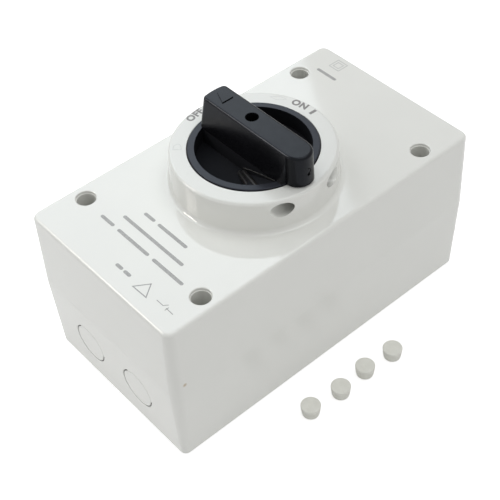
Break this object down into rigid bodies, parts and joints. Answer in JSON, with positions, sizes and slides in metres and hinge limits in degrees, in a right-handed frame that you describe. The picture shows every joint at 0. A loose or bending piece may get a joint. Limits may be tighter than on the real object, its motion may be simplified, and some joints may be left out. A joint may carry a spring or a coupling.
{
  "type": "dc isolator switch",
  "caption": "Wall-mounted rotary DC isolator switch in a white plastic case, black handle in a raised round collar, shown off, with its screw caps taken out.",
  "frame": {"origin": "centre of the flat back face", "axes": "+Z out of the front face, +Y along the long side, +X across the face"},
  "size_m": [0.1261, 0.182, 0.1187],
  "materials": {
    "white_shell": "glossy moulded",
    "black_handle": "satin moulded",
    "pale_cap": "soft matte",
    "grey_seal": "foam",
    "black_seal": "smooth",
    "zinc_steel": "zinc plated",
    "spring_steel": "oiled",
    "rail_steel": "galvanised",
    "brass": "turned",
    "copper": "stamped",
    "dark_moulding": "moulded",
    "pale_moulding": "moulded"
  },
  "bodies": {
    "case": {"enclosure_base": "white_shell", "enclosure_cover": "white_shell", "cover_collar": "white_shell", "collar_lock_side": "white_shell", "screw_caps": "pale_cap", "cover_gasket": "grey_seal", "threaded_inserts": "brass", "earth_terminal": "brass", "deck_nuts": "zinc_steel", "cover_screws": "zinc_steel", "mechanism_housing": "dark_moulding", "mechanism_cover": "dark_moulding", "deck_bolts": "zinc_steel", "terminal_clamps": "zinc_steel", "terminal_screws": "zinc_steel", "switch_foot": "dark_moulding", "din_rail": "rail_steel", "rail_screws": "zinc_steel", "earth_screws": "zinc_steel", "contact_deck_1": "pale_moulding", "fixed_contacts_1": "copper", "contact_deck_2": "pale_moulding", "fixed_contacts_2": "copper", "contact_deck_3": "pale_moulding", "fixed_contacts_3": "copper", "contact_deck_4": "pale_moulding", "fixed_contacts_4": "copper"},
    "turning_train": {"handle": "black_handle", "handle_tail": "black_handle", "handle_screw": "zinc_steel", "hub_seal": "black_seal", "hub_retaining_ring": "spring_steel", "drive_spindle": "zinc_steel", "input_carrier": "dark_moulding", "snap_spring": "spring_steel", "output_cam": "dark_moulding", "contact_shaft": "zinc_steel", "rotor_1": "dark_moulding", "rotor_2": "dark_moulding", "rotor_3": "dark_moulding", "rotor_4": "dark_moulding", "moving_contact_1": "copper", "moving_contact_2": "copper", "moving_contact_3": "copper", "moving_contact_4": "copper"},
    "latch": {"rail_latch": "pale_moulding"}
  },
  "joints": [
    {"name": "handle_turn", "type": "hinge", "parent": "case", "child": "turning_train", "pos_m": [0, 0, 0.1027], "axis": [0, 0, 1], "range_deg": [-90, 0]},
    {"name": "latch_slide", "type": "slide", "parent": "case", "child": "latch", "axis": [0, -1, 0], "range_m": [0, 0.0035]}
  ]
}
